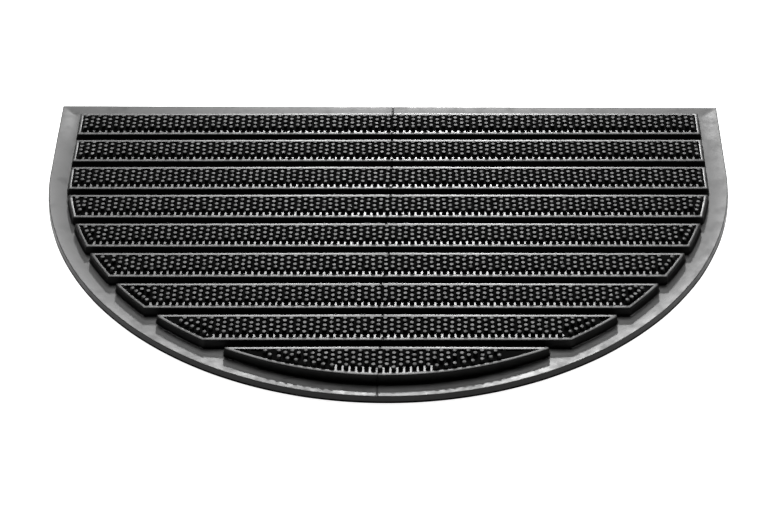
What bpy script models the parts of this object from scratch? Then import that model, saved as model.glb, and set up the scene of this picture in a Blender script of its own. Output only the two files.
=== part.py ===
"""Half-round rubber scraper mat, moulded in one piece.

A flat plate with a straight back edge and a half-round front carries nine raised bars
that run from side to side. Each bar stands in a field of short scraper nubs, and the
solid fills that field up to the tips of the nubs.

Metres, +Z up. The origin is the middle of the underside, the back edge faces +Y and the
rounded edge faces -Y.
"""
import math

import bmesh
import bpy

# Plate: a half circle in front of a short straight stretch
WIDTH = 0.600
DEPTH = 0.400
PLATE_THICKNESS = 0.0064
WALL_DRAFT = 0.0007
EDGE_ROUND = 0.0006
ARC_RADIUS = WIDTH / 2
BACK_Y = DEPTH / 2
ARC_CENTRE_Y = ARC_RADIUS - DEPTH / 2

# Bars, measured along their top edges
BAR_COUNT = 9
BAR_PITCH = 0.0407
BAR_DEPTH = 0.0326
BAR_HEIGHT = 0.0077
BAR_DRAFT = 0.0008
BAR_EDGE_ROUND = 0.0006
BAR_ARC_RADIUS = 0.2818
BAR_END_X = 0.2803
FIRST_BAR_BACK_Y = 0.1793

# Field of scraper nubs on each bar
NUB_HEIGHT = 0.0030
FIELD_MARGIN = 0.0042
FIELD_DRAFT = 0.0011

# How far a bar's solid reaches down into the plate before the two are joined
JOIN_DEPTH = 0.002

# Points along the round outlines
PLATE_ARC_STEPS = 96
BAR_ARC_STEPS = 40
BAR_END_STEPS = 6


def arc_points(radius, start_angle, end_angle, steps):
    """Points on a circle about the plate's arc centre."""
    points = []
    for step in range(steps + 1):
        angle = start_angle + (end_angle - start_angle) * step / steps
        points.append((radius * math.cos(angle), ARC_CENTRE_Y + radius * math.sin(angle)))
    return points


def plate_outline(inset):
    """The half-round outline, counterclockwise from the back left corner."""
    half_width = WIDTH / 2 - inset
    back_y = BACK_Y - inset
    arc = arc_points(ARC_RADIUS - inset, math.pi, 2 * math.pi, PLATE_ARC_STEPS)
    return [(-half_width, back_y)] + arc + [(half_width, back_y)]


def bar_end_x(y, inset):
    """Half length of a bar at one depth: straight ends at the back, round ones further on."""
    radius = BAR_ARC_RADIUS - inset
    past_centre = max(ARC_CENTRE_Y - y, 0.0)
    return min(BAR_END_X - inset, math.sqrt(radius ** 2 - past_centre ** 2))


def straight_bar_outline(index, inset):
    """A bar with parallel edges whose ends follow the plate, counterclockwise."""
    back_y = FIRST_BAR_BACK_Y - BAR_PITCH * index - inset
    front_y = FIRST_BAR_BACK_Y - BAR_PITCH * index - BAR_DEPTH + inset
    depths = [back_y + (front_y - back_y) * step / BAR_END_STEPS for step in range(BAR_END_STEPS + 1)]
    left = [(-bar_end_x(y, inset), y) for y in depths]
    right = [(bar_end_x(y, inset), y) for y in reversed(depths)]
    return left + right


def front_bar_outline(index, inset):
    """The front bar: a straight back edge and a front edge that follows the arc."""
    back_y = FIRST_BAR_BACK_Y - BAR_PITCH * index - inset
    radius = BAR_ARC_RADIUS - inset
    corner_angle = math.asin((ARC_CENTRE_Y - back_y) / radius)
    return arc_points(radius, math.pi + corner_angle, 2 * math.pi - corner_angle, BAR_ARC_STEPS)


def drafted_solid(name, outline, levels):
    """A closed solid through one ring of the outline for each (height, inset) level."""
    body = bmesh.new()
    rings = []
    for height, inset in levels:
        rings.append([body.verts.new((x, y, height)) for x, y in outline(inset)])
    for lower, upper in zip(rings, rings[1:]):
        for i in range(len(lower)):
            body.faces.new((lower[i - 1], lower[i], upper[i], upper[i - 1]))
    body.faces.new(list(reversed(rings[0])))
    body.faces.new(rings[-1])
    mesh = bpy.data.meshes.new(name)
    body.to_mesh(mesh)
    body.free()
    return bpy.data.objects.new(name, mesh)


def make_plate():
    levels = [
        (0.0, 0.0),
        (PLATE_THICKNESS - EDGE_ROUND, WALL_DRAFT),
        (PLATE_THICKNESS, WALL_DRAFT + EDGE_ROUND),
    ]
    return drafted_solid("mat", plate_outline, levels)


def make_bar(index):
    """One bar with its nub field, drafted outwards down into the plate."""
    top = PLATE_THICKNESS + BAR_HEIGHT
    slope = BAR_DRAFT / BAR_HEIGHT
    levels = [
        (PLATE_THICKNESS - JOIN_DEPTH, -slope * (BAR_HEIGHT + JOIN_DEPTH)),
        (top - BAR_EDGE_ROUND, -slope * BAR_EDGE_ROUND),
        (top, BAR_EDGE_ROUND),
        (top, FIELD_MARGIN),
        (top + NUB_HEIGHT, FIELD_MARGIN + FIELD_DRAFT),
    ]
    is_front = index == BAR_COUNT - 1
    shape = front_bar_outline if is_front else straight_bar_outline
    return drafted_solid(f"bar_{index + 1}", lambda inset: shape(index, inset), levels)


def rubber_material():
    material = bpy.data.materials.new("black_rubber")
    material.use_nodes = True
    shader = material.node_tree.nodes["Principled BSDF"]
    shader.inputs["Base Color"].default_value = (0.018, 0.018, 0.020, 1.0)
    shader.inputs["Roughness"].default_value = 0.42
    shader.inputs["Metallic"].default_value = 0.0
    return material


def new_collection(name):
    collection = bpy.data.collections.new(name)
    bpy.context.scene.collection.children.link(collection)
    return collection


def main():
    for item in list(bpy.data.objects):
        bpy.data.objects.remove(item, do_unlink=True)
    mat_parts = new_collection("scraper_mat")
    joined_bars = new_collection("joined_bars")

    mat = make_plate()
    mat.data.materials.append(rubber_material())
    mat_parts.objects.link(mat)

    for index in range(BAR_COUNT):
        bar = make_bar(index)
        bar.hide_render = True
        bar.display_type = "WIRE"
        joined_bars.objects.link(bar)
        union = mat.modifiers.new(bar.name, "BOOLEAN")
        union.operation = "UNION"
        union.object = bar


main()
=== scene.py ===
"""Looks of the half-round rubber scraper mat: plate, bars, scraper nubs, seam and finish.

Lengths are in metres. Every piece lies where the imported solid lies, which fills the nub
fields as low blocks; here each field is its separate nubs.
"""
import math
import random

import bpy
from mathutils import Matrix, Vector, kdtree, noise
from mathutils.geometry import delaunay_2d_cdt


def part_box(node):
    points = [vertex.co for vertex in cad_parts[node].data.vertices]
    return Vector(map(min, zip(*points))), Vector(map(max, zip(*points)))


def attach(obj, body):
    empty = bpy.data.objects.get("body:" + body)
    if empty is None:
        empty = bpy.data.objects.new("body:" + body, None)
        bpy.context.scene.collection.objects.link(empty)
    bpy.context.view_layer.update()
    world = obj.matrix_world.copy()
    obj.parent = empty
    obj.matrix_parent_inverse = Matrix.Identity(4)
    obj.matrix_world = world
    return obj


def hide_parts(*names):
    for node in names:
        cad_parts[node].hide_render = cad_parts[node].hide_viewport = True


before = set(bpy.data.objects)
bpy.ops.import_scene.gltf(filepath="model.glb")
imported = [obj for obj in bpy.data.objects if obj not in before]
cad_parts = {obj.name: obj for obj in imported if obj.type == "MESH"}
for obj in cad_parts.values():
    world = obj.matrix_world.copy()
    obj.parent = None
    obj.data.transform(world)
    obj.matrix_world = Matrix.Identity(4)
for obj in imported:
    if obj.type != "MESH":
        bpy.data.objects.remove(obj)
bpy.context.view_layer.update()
mat_low, mat_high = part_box("mat")

MM = 0.001

# Plate
HALF_WIDTH = (mat_high.x - mat_low.x) / 2
BACK_Y = mat_high.y
ARC_CENTRE_Y = mat_low.y + HALF_WIDTH
PLATE_TOP = 6.4 * MM
WALL_DRAFT = 0.7 * MM
PLATE_EDGE_RADIUS = 0.6 * MM
FOOT_CHAMFER = 0.3 * MM
# Height up the plate's wall of the painted contact shadow at its foot
PAINTED_SHADE_FOOT = 1.9 * MM

# Rings on the plate's flat top, in millimetres from its rounded edge
RIM_RINGS = (0.4, 3.0, 6.0, 9.0, 12.0, 15.0, 18.0, 22.0)

# Curl of the rim up to its outer edge, less at the middle of the front
CURL_WIDTH = 18.0 * MM
BACK_LIFT = 0.50 * MM
FRONT_LIFT = 0.74 * MM
MIDDLE_LIFT_LOSS = 0.62

# Sag of the rim beside the first bar and in front of the last one, measured inwards
BACK_SAG = 0.45 * MM
FRONT_SAG = 1.0 * MM
SAG_START = 5 * MM
SAG_GROWTH = 10 * MM
SAG_END = 23.3 * MM
SAG_FADE = 4 * MM

# Length of the sag along the rim: half of it at the front, all of it on either side
SAG_HALF_LENGTH = 150 * MM
BACK_SAG_LENGTH = 60 * MM
BACK_SAG_FADE = 36 * MM

# Bars, measured along their top edges
BAR_COUNT = 9
BAR_PITCH = 40.7 * MM
BAR_DEPTH = 32.6 * MM
BAR_HEIGHT = 7.7 * MM
BAR_TOP = PLATE_TOP + BAR_HEIGHT
BAR_DRAFT = 0.8 * MM
BAR_EDGE_RADIUS = 0.6 * MM
BAR_FOOT_RADIUS = 0.8 * MM
BAR_ROOT = 0.5 * MM
BAR_ARC_RADIUS = 281.8 * MM
BAR_END_X = 280.3 * MM
FIRST_BAR_BACK_Y = 179.3 * MM

# Height above which a point belongs to a bar's top and not to its walls
TOP_FROM = BAR_TOP - 2 * MM

# The bars lie a little askew on the plate, and their sharp corners are blunt
BAR_SKEW = 0.0057
BAR_SETBACK = 0.3 * MM
CORNER_CUT = 6.5 * MM
CORNER_TIP_SHARE = 0.2

# Land along a bar's edges, rounded off at its ends and its front edge
LAND_WIDTH = 2.9 * MM
LAND_RINGS = (1.2 * MM, 1.9 * MM, LAND_WIDTH, LAND_WIDTH + 0.3 * MM)
ROUNDING_WIDTH = 2.3 * MM
END_ROUNDING = 0.7 * MM
FRONT_ROUNDING = 0.35 * MM

# Shallow dish between a bar's edges
DISH_SLOPE = 0.058
DISH_END_WIDTH = 2 * MM

# Places of the looks in the list of materials of each piece
SATIN_LOOK, PAINTED_SHADE_LOOK, NUB_LOOK, PAINTED_HIGHLIGHT_LOOK = 0, 1, 2, 3

# Straight ends of bars get a painted highlight, a shinier land, if they lie further back than
# this
PAINTED_HIGHLIGHT_FROM_Y = 20 * MM

# The field's floor is painted shade, near-black and dull, but for satin lanes between its nubs
# along a bar's front edge, where light reaches the floor
FIRST_SATIN_DEPTH = 5.6 * MM
SATIN_DEPTH_STEP = 0.6 * MM
MOST_SATIN_DEPTH = 7.4 * MM
FRONT_BAR_SATIN_DEPTH = 9.9 * MM
LANE_HALF_WIDTH = 0.85 * MM
LANE_START = LAND_WIDTH + 0.6 * MM
LANE_POINTS = 8
LANE_POINT_STEP = 0.9 * MM
LANE_CLEARANCE = 0.12 * MM

# Scraper nubs, in staggered columns across each bar
NUB_HEIGHT = mat_high.z - BAR_TOP
COLUMN_PITCH = 5.47 * MM
FRONT_BAR_SHIFT = 2.1 * MM
ROW_PITCH = 5.75 * MM
ODD_ROW_START = 3.2 * MM
ROWS = 5
EDGE_TO_NUB = 7.65 * MM
LEAST_FRONT = 6.8 * MM
END_TO_NUB = 6.7 * MM
CLOSEST_NUBS = 4.4 * MM
NUB_BASE_RADIUS = 2.1 * MM
NUB_HALF_GAP = 0.05 * MM
NUB_SIDES = 12

# Rows that follow a bar's round ends, and one on either side of the front bar's middle
END_ROW_INSET = 7.0 * MM
END_ROW_PITCH = 5.4 * MM
END_ROW_CLEARANCE = 10.3 * MM
FRONT_ROW_INSET = 6.3 * MM
FRONT_ROW_FROM = 42.0 * MM
FRONT_ROW_PITCH = 7.45 * MM
FRONT_ROW_COUNT = 8
FRONT_ROW_CLEARANCE = 9.1 * MM

# Side of a nub, as (share of the base radius, share of the height)
NUB_PROFILE = (
    (0.93, 0.06),
    (0.90, 0.50),
    (0.86, 0.85),
    (0.81, 0.96),
    (0.73, 1.00),
)
NUB_FOOT_SHARE = 0.3

# Unevenness of the nubs: in millimetres, and the width as a share
NUB_PLACE_SPREAD = 0.14
NUB_HEIGHT_SPREAD = 0.22
NUB_LEAN_SPREAD = 0.12
NUB_WIDTH_SPREAD = 0.03
FIRST_BAR_DRAW = 100

# Joint mark of the mould: where it crosses each bar, as x at the back and at the front edge
SEAM_CROSSINGS = (
    (3.4, 3.4),
    (3.1, 3.3),
    (3.3, 2.6),
    (2.7, -0.2),
    (-0.6, 0.6),
    (1.9, -1.9),
    (-4.2, -5.4),
    (-2.2, -1.8),
    (-3.6, -5.7),
)
SEAM_HALF_WIDTH = 1.0 * MM
SEAM_REACH = 2.4 * SEAM_HALF_WIDTH
SEAM_DEPTH = 0.45 * MM
SEAM_BURR = 0.5 * MM
SEAM_STEP = 0.3 * MM

# Distance between points along the outlines
OUTLINE_STEP = 3.0 * MM

# Unevenness of the moulding: how much, how wide its features are, and where its noise starts
EDGE_WANDER = 0.16 * MM
PLATE_WANDER_SIZE, PLATE_WANDER_START = 26 * MM, 3.1
BAR_WANDER_SIZE, BAR_WANDER_START = 22 * MM, 11.3
RIM_WAVE = 0.09 * MM
RIM_WAVE_SIZE, RIM_WAVE_START = 34 * MM, 7.7

# Distance to the ring further out that shows which way an outline faces
PLATE_TWIN = 1 * MM
BAR_TWIN = 2 * MM


def round_edge(radius, steps):
    """(inset, drop) pairs over a rounded top edge, from the wall to the flat."""
    pairs = []
    for step in range(steps + 1):
        angle = math.pi / 2 * step / steps
        pairs.append((radius * (1 - math.cos(angle)), radius * (1 - math.sin(angle))))
    return pairs


def spaced(start, end, step, fine_at=None):
    """Positions from start to end, closer together around fine_at."""
    count = max(2, round(abs(end - start) / step))
    places = [start + (end - start) * i / count for i in range(count + 1)]
    if fine_at is None:
        return places
    kept = [p for p in places if abs(p - fine_at) > SEAM_REACH + SEAM_STEP / 2]
    extra = round(2 * SEAM_REACH / SEAM_STEP)
    kept += [fine_at - SEAM_REACH + 2 * SEAM_REACH * i / extra for i in range(extra + 1)]
    return sorted(kept, reverse=start > end)


def wander(x, y, size, start):
    """Smooth noise from -1 to 1 over the mat, with features about as wide as size."""
    return noise.noise(Vector((x / size, y / size, start)))


def outward(inner, outer):
    """Unit vector across an outline, from a point on one ring to its twin further out."""
    return Vector((outer[0] - inner[0], outer[1] - inner[1])).normalized()


def make_object(name, points, faces, materials, looks):
    """One piece of the mat; looks holds the number of each face's material."""
    mesh = bpy.data.meshes.new(name)
    mesh.from_pydata(points, [], faces)
    mesh.update()
    for material in materials:
        mesh.materials.append(material)
    mesh.polygons.foreach_set("material_index", looks)
    mesh.shade_smooth()
    mesh.set_sharp_from_angle(angle=math.radians(38))
    piece = bpy.data.objects.new(name, mesh)
    bpy.context.scene.collection.objects.link(piece)
    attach(piece, "root")
    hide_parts("mat")
    return piece


def bridge(faces, lower, upper):
    """Quads between two rings of point numbers, counterclockwise seen from outside."""
    for i in range(len(lower)):
        faces.append((lower[i - 1], lower[i], upper[i], upper[i - 1]))


def seam_dip(offset):
    """Depth of the joint mark, from 0 to 1, at a sideways offset from its middle."""
    return max(0.0, 1 - (offset / SEAM_HALF_WIDTH) ** 2) ** 1.5


def seam_burr(offset):
    """Size of the burr beside the joint mark, from 0 to 1."""
    return math.exp(-((offset - 1.5 * SEAM_HALF_WIDTH) / (0.5 * SEAM_HALF_WIDTH)) ** 2)


# Plate


def plate_ring(inset):
    """Outline points at an inset, counterclockwise from the back right corner."""
    half = HALF_WIDTH - inset
    back_y = BACK_Y - inset
    front_seam = SEAM_CROSSINGS[-1][1] * MM
    back_seam = SEAM_CROSSINGS[0][0] * MM
    back = spaced(HALF_WIDTH, -HALF_WIDTH, OUTLINE_STEP, back_seam)
    points = [(x * half / HALF_WIDTH, back_y) for x in back]
    sides = spaced(1.0, 0.0, OUTLINE_STEP / (BACK_Y - ARC_CENTRE_Y))[1:]
    points += [(-half, ARC_CENTRE_Y + (back_y - ARC_CENTRE_Y) * t) for t in sides]
    arc_length = math.pi * HALF_WIDTH
    seam_at = arc_length / 2 + front_seam
    for length in spaced(0.0, arc_length, OUTLINE_STEP, seam_at)[1:]:
        angle = math.pi + length / HALF_WIDTH
        points.append((half * math.cos(angle), ARC_CENTRE_Y + half * math.sin(angle)))
    points += [(half, ARC_CENTRE_Y + (back_y - ARC_CENTRE_Y) * t) for t in reversed(sides[:-1])]
    return points


def plate_seam(x, y):
    """Joint mark across the rim, at the back and at the front."""
    crossing = SEAM_CROSSINGS[0][0] if y > ARC_CENTRE_Y else SEAM_CROSSINGS[-1][1]
    return seam_dip(x - crossing * MM)


def front_middle(x, y):
    """1 at the middle of the rounded front, falling to 0 on both sides of the front bar."""
    return max(0.0, 1 - (x / SAG_HALF_LENGTH) ** 2) if y < ARC_CENTRE_Y else 0.0


def rim_lift(inset, x, y):
    """The rim curls up a little towards its outer edge, most at both sides of the front."""
    towards_front = min(1.0, max(0.0, (BACK_Y - y) / HALF_WIDTH))
    towards_front *= 1 - MIDDLE_LIFT_LOSS * front_middle(x, y)
    towards_edge = max(0.0, 1 - inset / CURL_WIDTH)
    return (BACK_LIFT + (FRONT_LIFT - BACK_LIFT) * towards_front) * towards_edge ** 2


def rim_sag(inset, x, y):
    """The rim lies lower beside the first bar and in front of the last one."""
    growth = max(0.0, inset - SAG_START) / SAG_GROWTH
    fade = max(0.0, SAG_END - inset) / SAG_FADE
    across = min(1.0, growth, fade)
    if y > ARC_CENTRE_Y:
        along = min(1.0, max(0.0, (y - BACK_Y + BACK_SAG_LENGTH) / BACK_SAG_FADE))
        return BACK_SAG * across * along
    return FRONT_SAG * across * front_middle(x, y)


def plate_levels():
    """(inset, height) of each ring of the plate, from its underside to its middle."""
    levels = [(FOOT_CHAMFER, 0.0), (0.0, FOOT_CHAMFER)]
    levels.append((WALL_DRAFT * PAINTED_SHADE_FOOT / PLATE_TOP, PAINTED_SHADE_FOOT))
    for inset, drop in round_edge(PLATE_EDGE_RADIUS, 4):
        levels.append((WALL_DRAFT + inset, PLATE_TOP - drop))
    flat_start = WALL_DRAFT + PLATE_EDGE_RADIUS
    for width in RIM_RINGS:
        levels.append((flat_start + width * MM, PLATE_TOP))
    return levels


def plate_height(inset, x, y):
    """How far the plate's top is above or below its flat level at one place."""
    bent = rim_lift(inset, x, y) - rim_sag(inset, x, y)
    wave = RIM_WAVE * wander(x, y, RIM_WAVE_SIZE, RIM_WAVE_START)
    return bent + wave - plate_seam(x, y) * SEAM_DEPTH


def make_plate(materials):
    """The plate; its foot and underside are painted shade, dull and near-black as a contact
    shadow, and the rest is satin.
    """
    outer = plate_ring(-PLATE_TWIN)
    points, rings = [], []
    for inset, height in plate_levels():
        start = len(points)
        for (x, y), beyond in zip(plate_ring(inset), outer):
            out = Vector((0, 0))
            if height > 0:
                shift = EDGE_WANDER * wander(x, y, PLATE_WANDER_SIZE, PLATE_WANDER_START)
                out = outward((x, y), beyond) * shift
            raised = plate_height(inset, x, y) if height > PLATE_TOP / 2 else 0.0
            points.append((x + out.x, y + out.y, height + raised))
        rings.append(list(range(start, len(points))))
    faces = [tuple(reversed(rings[0]))]
    for lower, upper in zip(rings, rings[1:]):
        bridge(faces, lower, upper)
    faces.append(tuple(rings[-1]))
    # The underside, the foot chamfer and the lowest part of the wall get painted shade, a dull
    # near-black contact shadow
    painted_shade_faces = 1 + 2 * len(rings[0])
    looks = [PAINTED_SHADE_LOOK] * painted_shade_faces + [SATIN_LOOK] * (len(faces) - painted_shade_faces)
    return make_object("mat_plate", points, faces, materials, looks)


# Bars with their nubs


def bar_edges(index, x=0.0):
    """Back and front edge of a bar at one place along it."""
    back_y = FIRST_BAR_BACK_Y - BAR_PITCH * index - BAR_SETBACK + BAR_SKEW * x
    return back_y, back_y - BAR_DEPTH


def is_front_bar(index):
    return index == BAR_COUNT - 1


def end_x(y, inset):
    """Half length of a bar at one depth: straight ends at the back, round ones further on."""
    past_centre = max(ARC_CENTRE_Y - y, 0.0)
    radius = BAR_ARC_RADIUS - inset
    return min(BAR_END_X - inset, math.sqrt(radius ** 2 - past_centre ** 2))


def side_edges(index, side):
    """Back and front edge of a bar at its left (-1) or its right (1) end."""
    return bar_edges(index, side * end_x(bar_edges(index)[0], 0.0))


def corner_cut(index):
    """Length that a bar's back edge loses at a blunt corner, more where the corner is sharp."""
    past_centre = max(ARC_CENTRE_Y - bar_edges(index)[0], 0.0)
    return CORNER_CUT * (past_centre / BAR_ARC_RADIUS) ** 2


def back_half(index, side, inset):
    """Half length of a bar's back edge at an inset, to the left (-1) or to the right (1)."""
    back_edge = side_edges(index, side)[0]
    cut = corner_cut(index)
    tip = end_x(back_edge - inset, inset)
    return min(tip - CORNER_TIP_SHARE * cut, end_x(back_edge, 0.0) - cut - inset)


def bar_ring(index, inset):
    """Outline points of a bar at an inset, counterclockwise from the back right corner."""
    seam_back, seam_front = (x * MM for x in SEAM_CROSSINGS[index])
    left, right = back_half(index, -1, inset), back_half(index, 1, inset)
    whole = end_x(bar_edges(index)[0], 0.0)
    points = []
    for x in spaced(whole, -whole, OUTLINE_STEP, seam_back):
        x *= (right if x > 0 else left) / whole
        points.append((x, bar_edges(index, x)[0] - inset))
    if is_front_bar(index):
        radius = BAR_ARC_RADIUS - inset
        start = math.pi + math.acos(left / radius)
        turn = math.pi - math.acos(left / radius) - math.acos(right / radius)
        length = 2 * math.asin(whole / BAR_ARC_RADIUS) * BAR_ARC_RADIUS
        for place in spaced(0.0, length, OUTLINE_STEP, length / 2 + seam_front):
            angle = start + turn * place / length
            points.append((radius * math.cos(angle), ARC_CENTRE_Y + radius * math.sin(angle)))
        return points
    ends = {}
    step = OUTLINE_STEP * (1 - 2 * inset / BAR_DEPTH)
    for side, half in ((-1, left), (1, right)):
        back_edge, front_edge = side_edges(index, side)
        depths = spaced(back_edge - inset, front_edge + inset, step)[1:]
        ends[side] = [(side * min(end_x(y, inset), half), y) for y in depths]
    points += ends[-1]
    left, right = -ends[-1][-1][0], ends[1][-1][0]
    whole = end_x(bar_edges(index)[1], 0.0)
    for x in spaced(-whole, whole, OUTLINE_STEP, seam_front)[1:]:
        x *= (right if x > 0 else left) / whole
        points.append((x, bar_edges(index, x)[1] + inset))
    points += reversed(ends[1][:-1])
    return points


def seam_x(index, y):
    """Where the joint mark crosses a bar at one depth."""
    back_y, front_y = bar_edges(index)
    seam_back, seam_front = SEAM_CROSSINGS[index]
    return (seam_back + (seam_front - seam_back) * (back_y - y) / (back_y - front_y)) * MM


def edge_distances(index, x, y):
    """Distances from a point to the bar's back edge, its front edge and its ends."""
    back_edge, front_edge = bar_edges(index, x)
    radial = BAR_ARC_RADIUS - math.hypot(x, min(y - ARC_CENTRE_Y, 0.0))
    if is_front_bar(index):
        return back_edge - y, radial, BAR_DEPTH
    return back_edge - y, y - front_edge, min(BAR_END_X - abs(x), radial)


def dish(index, x, y):
    """How far a bar's top has sunk: not at all at its edges and ends, most in the middle."""
    back, front, end = edge_distances(index, x, y)
    back, front, end = max(back, 0.0), max(front, 0.0), max(end - LAND_WIDTH, 0.0)
    if back + front == 0:
        return 0.0
    return DISH_SLOPE * back * front / (back + front) * end / (end + DISH_END_WIDTH)


def column_x(index, column):
    """Place of a column of nubs along a bar; half numbers are the lanes between columns."""
    return column * COLUMN_PITCH + (FRONT_BAR_SHIFT if is_front_bar(index) else 0.0)


def floor_look(index, x, y):
    """Look of the field at one place: satin only where a lane runs out at the front edge,
    painted shade elsewhere.
    """
    _, front, end = edge_distances(index, x, y)
    lane = round(x / COLUMN_PITCH - column_x(index, 0.5) / COLUMN_PITCH)
    if abs(x - column_x(index, lane + 0.5)) > LANE_HALF_WIDTH:
        return PAINTED_SHADE_LOOK
    if is_front_bar(index):
        depth = FRONT_BAR_SATIN_DEPTH if abs(x) < FRONT_ROW_FROM else 0.0
    else:
        depth = min(MOST_SATIN_DEPTH, FIRST_SATIN_DEPTH + SATIN_DEPTH_STEP * index)
        depth = depth if end > END_TO_NUB else 0.0
    return SATIN_LOOK if front < depth else PAINTED_SHADE_LOOK


def is_straight_end(index, x, y, height):
    """Whether a point is on the land along one of the straight ends of the back bars."""
    back, front, end = edge_distances(index, x, y)
    on_land = height > BAR_TOP - END_ROUNDING / 2 and 0 < end < min(back, front, LAND_WIDTH)
    return on_land and y > PAINTED_HIGHLIGHT_FROM_Y


def has_end_rows(index):
    """Whether a bar's ends lie on the round part of the outline."""
    return not is_front_bar(index) and bar_edges(index)[1] + EDGE_TO_NUB < ARC_CENTRE_Y


def edge_rows(index):
    """Nubs that follow the round sides of a bar at an even distance."""
    places = []
    if is_front_bar(index):
        radius = BAR_ARC_RADIUS - FRONT_ROW_INSET
        for step in range(FRONT_ROW_COUNT):
            angle = (FRONT_ROW_FROM + FRONT_ROW_PITCH * step) / radius
            x, y = radius * math.sin(angle), ARC_CENTRE_Y - radius * math.cos(angle)
            places += [(-x, y), (x, y)]
    if has_end_rows(index):
        radius = BAR_ARC_RADIUS - END_ROW_INSET
        for side in (-1, 1):
            back_edge, front_edge = side_edges(index, side)
            first_y = min(back_edge - EDGE_TO_NUB - corner_cut(index), ARC_CENTRE_Y)
            last_y = front_edge + EDGE_TO_NUB
            first, last = (math.asin((ARC_CENTRE_Y - y) / radius) for y in (first_y, last_y))
            for angle in spaced(first, last, END_ROW_PITCH / radius):
                x = min(radius * math.cos(angle), BAR_END_X - END_ROW_INSET)
                places.append((side * x, ARC_CENTRE_Y - radius * math.sin(angle)))
    return places


def nub_places(index):
    """Rows along the round sides, then staggered columns in what is left of the field."""
    places = edge_rows(index)
    taken = list(places)
    least_end = END_ROW_CLEARANCE if has_end_rows(index) else END_TO_NUB
    columns = int(BAR_END_X / COLUMN_PITCH)
    for column in range(-columns, columns + 1):
        x = column_x(index, column)
        first = EDGE_TO_NUB + (ODD_ROW_START if column % 2 else 0.0)
        beside_row = is_front_bar(index) and abs(x) > FRONT_ROW_FROM
        least_front = FRONT_ROW_CLEARANCE if beside_row else LEAST_FRONT
        for row in range(ROWS):
            y = bar_edges(index, x)[0] - first - row * ROW_PITCH
            _, front, end = edge_distances(index, x, y)
            if front < least_front or end < least_end:
                continue
            if all(math.dist((x, y), other) > CLOSEST_NUBS for other in taken):
                places.append((x, y))
    return places


def search_tree(places):
    """The nubs of a bar in a form that finds the nearest one to a place."""
    tree = kdtree.KDTree(len(places))
    for number, (x, y) in enumerate(places):
        tree.insert((x, y, 0), number)
    tree.balance()
    return tree


def nub_radii(places):
    """Base radius of each nub, smaller where its neighbour is close."""
    tree = search_tree(places)
    radii = []
    for x, y in places:
        gap = tree.find_n((x, y, 0), 2)[1][2]
        radii.append(min(NUB_BASE_RADIUS, gap / 2 - NUB_HALF_GAP))
    return radii


def add_nub(points, faces, base, draw):
    """One nub on a ring of base points: steep sides, a small radius and a low domed tip."""
    centre = sum((Vector(points[i]) for i in base), Vector()) / len(base)
    height = BAR_TOP + NUB_HEIGHT - centre.z - draw.uniform(0.0, NUB_HEIGHT_SPREAD) * MM
    lean = Vector((draw.gauss(0, NUB_LEAN_SPREAD), draw.gauss(0, NUB_LEAN_SPREAD), 0)) * MM
    width = draw.gauss(1.0, NUB_WIDTH_SPREAD)
    lower = base
    for share, level in NUB_PROFILE:
        start = len(points)
        for i in base:
            arm = (Vector(points[i]) - centre) * share
            arm.z = 0.0
            if level > NUB_FOOT_SHARE:
                arm *= width
            points.append(tuple(centre + arm + lean * level + Vector((0, 0, height * level))))
        upper = list(range(start, len(points)))
        bridge(faces, lower, upper)
        lower = upper
    faces.append(tuple(lower))


def bar_levels():
    """(inset, height) of each ring of a bar, from inside the plate to the edge of its field."""
    slope = BAR_DRAFT / BAR_HEIGHT
    curve_width, curve_height = 0.3 * BAR_FOOT_RADIUS, 0.25 * BAR_FOOT_RADIUS
    levels = [
        (-BAR_DRAFT - BAR_FOOT_RADIUS, PLATE_TOP - BAR_ROOT),
        (-BAR_DRAFT - BAR_FOOT_RADIUS, PLATE_TOP),
        (-BAR_DRAFT - curve_width, PLATE_TOP + curve_height),
        (-BAR_DRAFT + slope * BAR_FOOT_RADIUS, PLATE_TOP + BAR_FOOT_RADIUS),
    ]
    levels += [(inset, BAR_TOP - drop) for inset, drop in round_edge(BAR_EDGE_RADIUS, 4)]
    levels += [(inset, BAR_TOP) for inset in LAND_RINGS]
    return levels


def rounding(inset, out):
    """Drop of the land where it is rounded off: towards a bar's ends and its front edge."""
    share = max(0.0, 1 - inset / ROUNDING_WIDTH)
    return share ** 2 * (END_ROUNDING * abs(out.x) + FRONT_ROUNDING * max(-out.y, 0.0))


def lane_points(index, places):
    """Extra points between the last nubs, so that the satin lanes end where they should."""
    tree = search_tree(places)
    columns = int(BAR_END_X / COLUMN_PITCH)
    points = []
    for column in range(-columns, columns + 1):
        for shift in (-LANE_HALF_WIDTH, LANE_HALF_WIDTH):
            x = column_x(index, column + 0.5) + shift
            for step in range(LANE_POINTS):
                depth = LANE_START + step * LANE_POINT_STEP
                if is_front_bar(index):
                    squared = (BAR_ARC_RADIUS - depth) ** 2 - x ** 2
                    y = ARC_CENTRE_Y - math.sqrt(max(squared, 0.0))
                else:
                    y = bar_edges(index, x)[1] + depth
                back, _, end = edge_distances(index, x, y)
                clear = tree.find((x, y, 0))[2] > NUB_BASE_RADIUS + LANE_CLEARANCE
                if clear and back > EDGE_TO_NUB and end > EDGE_TO_NUB:
                    points.append((x, y))
    return points


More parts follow.
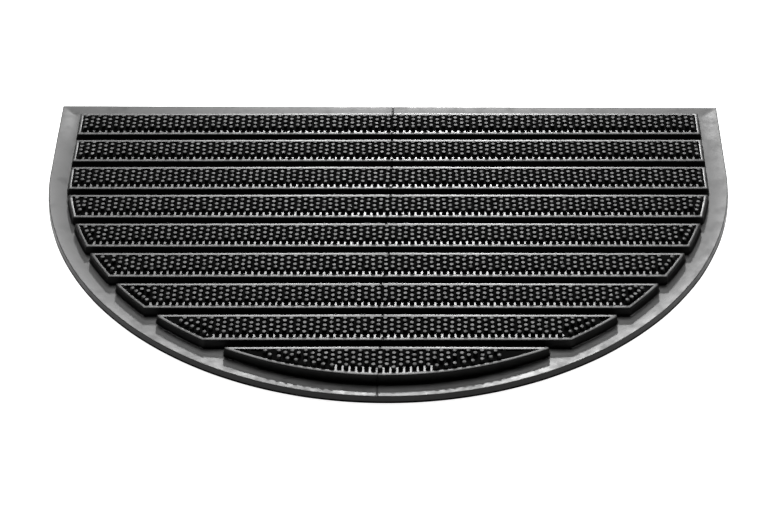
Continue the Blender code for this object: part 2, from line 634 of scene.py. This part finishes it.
def top_sheet(flat, outline, bases, lanes):
    """Triangles of the bar's top between its outline and the feet of its nubs."""
    used = outline + [i for base in bases for i in base] + lanes
    place = {number: order for order, number in enumerate(used)}
    edges = []
    for ring in [outline] + bases:
        edges += [(place[ring[i - 1]], place[ring[i]]) for i in range(len(ring))]
    found = delaunay_2d_cdt([Vector(flat[i]) for i in used], edges, [], 0, 1e-7)
    _, _, triangles, origins, _, _ = found
    owner = {}
    for number, base in enumerate(bases):
        for i in base:
            owner[i] = number
    sheet = []
    for triangle in triangles:
        corners = [used[origins[i][0]] for i in triangle]
        owners = {owner.get(i, -1) for i in corners}
        if len(owners) == 1 and -1 not in owners:
            continue
        (ax, ay), (bx, by), (cx, cy) = (flat[i] for i in corners)
        turn = (bx - ax) * (cy - ay) - (by - ay) * (cx - ax)
        sheet.append(tuple(corners) if turn > 0 else tuple(reversed(corners)))
    return sheet


class Layout:
    """Points of a bar before it is shaped: place, height and the way its outline faces."""

    def __init__(self):
        self.flat, self.heights, self.outs = [], [], []

    def add(self, place, height=BAR_TOP, out=Vector((0, 0))):
        self.flat.append(place)
        self.heights.append(height)
        self.outs.append(out)
        return len(self.flat) - 1


def lay_rings(index, layout):
    """Rings of a bar's outline from its root to the edge of its field, as point numbers."""
    outer = bar_ring(index, -BAR_TWIN)
    rings = []
    for inset, height in bar_levels():
        ring = []
        for place, beyond in zip(bar_ring(index, inset), outer):
            out = outward(place, beyond)
            drop = rounding(max(inset, 0.0), out) if height > TOP_FROM else 0.0
            ring.append(layout.add(place, height - drop, out))
        rings.append(ring)
    return rings


def lay_bases(places, draw, layout):
    """A ring of points round the foot of each nub, as point numbers."""
    bases = []
    for (x, y), radius in zip(places, nub_radii(places)):
        x += draw.uniform(-NUB_PLACE_SPREAD, NUB_PLACE_SPREAD) * MM
        y += draw.uniform(-NUB_PLACE_SPREAD, NUB_PLACE_SPREAD) * MM
        turn = draw.uniform(0, math.tau / NUB_SIDES)
        base = []
        for side in range(NUB_SIDES):
            angle = turn + math.tau * side / NUB_SIDES
            place = (x + radius * math.cos(angle), y + radius * math.sin(angle))
            base.append(layout.add(place))
        bases.append(base)
    return bases


def shaped(index, x, y, height, out):
    """A bar's point with the joint mark, the uneven edges, the dish and the sag added."""
    shift, dip = 0.0, 0.0
    if height > PLATE_TOP:
        offset = x - seam_x(index, y)
        dip = seam_dip(offset)
        shift = -dip * SEAM_DEPTH if out.y else 0.0
        if out.y > 0.5:
            shift += SEAM_BURR * seam_burr(offset) * min(1.0, (height - PLATE_TOP) / BAR_HEIGHT)
        shift += EDGE_WANDER * wander(x, y, BAR_WANDER_SIZE, BAR_WANDER_START + index)
    if height > TOP_FROM:
        height -= dip * SEAM_DEPTH + dish(index, x, y)
    if is_front_bar(index) and height < PLATE_TOP + BAR_FOOT_RADIUS:
        height -= rim_sag(HALF_WIDTH - math.hypot(x, y - ARC_CENTRE_Y), x, y)
    return x + out.x * shift, y + out.y * shift, height


def make_bar(index, materials):
    """One bar: walls and land round a field of nubs."""
    draw = random.Random(FIRST_BAR_DRAW + index)
    layout = Layout()
    rings = lay_rings(index, layout)
    places = nub_places(index)
    bases = lay_bases(places, draw, layout)
    lanes = [layout.add(place) for place in lane_points(index, places)]
    points = []
    for (x, y), height, out in zip(layout.flat, layout.heights, layout.outs):
        points.append(shaped(index, x, y, height, out))

    faces = [tuple(reversed(rings[0]))]
    for lower, upper in zip(rings[:-1], rings[1:-1]):
        bridge(faces, lower, upper)
    looks = []
    for face in faces:
        # The land along the straight ends of the back bars gets a painted highlight
        end_highlight = is_straight_end(index, *points[face[0]])
        looks.append(PAINTED_HIGHLIGHT_LOOK if end_highlight else SATIN_LOOK)

    field = []
    bridge(field, rings[-2], rings[-1])
    field += top_sheet(layout.flat, rings[-1], bases, lanes)
    for face in field:
        x, y = (sum(layout.flat[i][axis] for i in face) / len(face) for axis in (0, 1))
        # Faces of the field away from the lit lanes get painted shade
        looks.append(floor_look(index, x, y))
    faces += field

    for base in bases:
        add_nub(points, faces, base, draw)
    looks += [NUB_LOOK] * (len(faces) - len(looks))
    return make_object(f"mat_bar_{index + 1}", points, faces, materials, looks)


# Materials


def rubber(name, shades, roughness, specular, mottle_size, grain_size, grain_depth):
    """Black rubber: cloudy shade and gloss, with a fine moulded grain in the surface."""
    material = bpy.data.materials.new(name)
    material.use_nodes = True
    nodes, links = material.node_tree.nodes, material.node_tree.links
    shader = nodes["Principled BSDF"]
    shader.inputs["IOR"].default_value = 1.5
    shader.inputs["Specular IOR Level"].default_value = specular
    place = nodes.new("ShaderNodeTexCoord")

    clouds = nodes.new("ShaderNodeTexNoise")
    clouds.inputs["Scale"].default_value = 1 / mottle_size
    clouds.inputs["Detail"].default_value = 5.0
    clouds.inputs["Roughness"].default_value = 0.6
    links.new(place.outputs["Object"], clouds.inputs["Vector"])

    shade = nodes.new("ShaderNodeValToRGB")
    shade.color_ramp.elements[0].position = 0.35
    shade.color_ramp.elements[0].color = (*[shades[0]] * 3, 1)
    shade.color_ramp.elements[1].position = 0.70
    shade.color_ramp.elements[1].color = (*[shades[1]] * 3, 1)
    links.new(clouds.outputs["Fac"], shade.inputs["Fac"])
    links.new(shade.outputs["Color"], shader.inputs["Base Color"])

    gloss = nodes.new("ShaderNodeMapRange")
    gloss.inputs["From Min"].default_value = 0.36
    gloss.inputs["From Max"].default_value = 0.64
    gloss.inputs["To Min"].default_value = roughness[0]
    gloss.inputs["To Max"].default_value = roughness[1]
    links.new(clouds.outputs["Fac"], gloss.inputs["Value"])
    links.new(gloss.outputs["Result"], shader.inputs["Roughness"])

    grain = nodes.new("ShaderNodeTexNoise")
    grain.inputs["Scale"].default_value = 1 / grain_size
    grain.inputs["Detail"].default_value = 3.0
    links.new(place.outputs["Object"], grain.inputs["Vector"])
    bump = nodes.new("ShaderNodeBump")
    bump.inputs["Strength"].default_value = 1.0
    bump.inputs["Distance"].default_value = grain_depth
    links.new(grain.outputs["Fac"], bump.inputs["Height"])
    links.new(bump.outputs["Normal"], shader.inputs["Normal"])
    return material


# Stage, lights and camera

CAMERA_PLACE = (0.02489, -1.72194, 1.36454)
CAMERA_AZIMUTH = -0.912
CAMERA_ELEVATION = 38.58
CAMERA_ROLL = -0.367
CAMERA_FOCAL_PIXELS = 2562.8
PHOTO_WIDTH = 768
SENSOR_WIDTH = 36.0


def make_camera():
    """The photo's camera; azimuth and roll are small turns away from straight ahead."""
    azimuth, elevation = math.radians(CAMERA_AZIMUTH), math.radians(CAMERA_ELEVATION)
    ahead = Vector((
        math.cos(elevation) * math.sin(azimuth),
        math.cos(elevation) * math.cos(azimuth),
        -math.sin(elevation),
    ))
    right = ahead.cross(Vector((0, 0, 1))).normalized()
    up = right.cross(ahead)
    upright = Matrix((right, up, -ahead)).transposed()
    roll = Matrix.Rotation(math.radians(CAMERA_ROLL), 3, "Z")
    data = bpy.data.cameras.new("camera")
    data.sensor_width = SENSOR_WIDTH
    data.lens = CAMERA_FOCAL_PIXELS * SENSOR_WIDTH / PHOTO_WIDTH
    camera = bpy.data.objects.new("camera", data)
    camera.matrix_world = Matrix.Translation(CAMERA_PLACE) @ (upright @ roll).to_4x4()
    bpy.context.scene.collection.objects.link(camera)
    bpy.context.scene.camera = camera


def make_floor():
    """A pale floor that glows, so that it is white and shows almost no shadow."""
    bpy.ops.mesh.primitive_plane_add(size=12.0, location=(0, 0, 0))
    floor = bpy.context.object
    floor.name = "floor"
    material = bpy.data.materials.new("pale_floor")
    material.use_nodes = True
    shader = material.node_tree.nodes["Principled BSDF"]
    shader.inputs["Base Color"].default_value = (0.45, 0.45, 0.45, 1)
    shader.inputs["Roughness"].default_value = 0.9
    shader.inputs["Specular IOR Level"].default_value = 0.1
    shader.inputs["Emission Color"].default_value = (1, 1, 1, 1)
    shader.inputs["Emission Strength"].default_value = 0.95
    floor.data.materials.append(material)


def area_light(name, azimuth, elevation, distance, size, power):
    """A rectangular lamp aimed at the mat; azimuth 0 is behind it."""
    turn, rise = math.radians(azimuth), math.radians(elevation)
    away = Vector((
        math.sin(turn) * math.cos(rise),
        math.cos(turn) * math.cos(rise),
        math.sin(rise),
    ))
    data = bpy.data.lights.new(name, "AREA")
    data.shape = "RECTANGLE"
    data.size, data.size_y = size
    data.energy = power
    lamp = bpy.data.objects.new(name, data)
    lamp.location = away * distance
    lamp.rotation_euler = away.to_track_quat("Z", "Y").to_euler()
    bpy.context.scene.collection.objects.link(lamp)


def make_lights():
    """A small lamp behind the mat that its rubber mirrors, and a soft one overhead."""
    world = bpy.data.worlds.new("studio")
    world.use_nodes = True
    backdrop = world.node_tree.nodes["Background"]
    backdrop.inputs["Color"].default_value = (1, 1, 1, 1)
    backdrop.inputs["Strength"].default_value = 0.04
    bpy.context.scene.world = world
    area_light(
        "key_light", azimuth=0.5, elevation=29.0, distance=6.0, size=(0.42, 0.32), power=440
    )
    area_light("top_light", azimuth=0, elevation=60, distance=1.7, size=(1.8, 1.0), power=90)
    bpy.context.scene.view_settings.view_transform = "Standard"


# Looks of the rubber: shades, roughness, specular level, cloud size, grain size and depth
RUBBERS = {
    "rim_rubber": ((0.008, 0.012), (0.32, 0.48), 0.138, 12 * MM, 0.9 * MM, 0.015 * MM),
    "bar_rubber": ((0.003, 0.004), (0.34, 0.39), 0.18, 9 * MM, 0.7 * MM, 0.006 * MM),
    "nub_rubber": ((0.003, 0.004), (0.47, 0.57), 0.165, 6 * MM, 0.7 * MM, 0.006 * MM),
    # The rubber on the straight ends is a painted highlight: a much higher specular level than
    # the bars' satin
    "end_highlight_rubber": ((0.003, 0.004), (0.34, 0.39), 0.60, 9 * MM, 0.7 * MM, 0.006 * MM),
    # The near-black, almost unreflective rubber is painted shade: a contact shadow on the
    # plate's foot and shade on the fields' floors
    "painted_shade_rubber": ((0.0006, 0.0012), (0.60, 0.60), 0.002, 9 * MM, 0.7 * MM, 0.005 * MM),
}

rim, satin, nub, end_highlight, painted_shade = (rubber(name, *look) for name, look in RUBBERS.items())
make_plate([rim, painted_shade])
for bar in range(BAR_COUNT):
    make_bar(bar, [satin, painted_shade, nub, end_highlight])
make_floor()
make_lights()
make_camera()
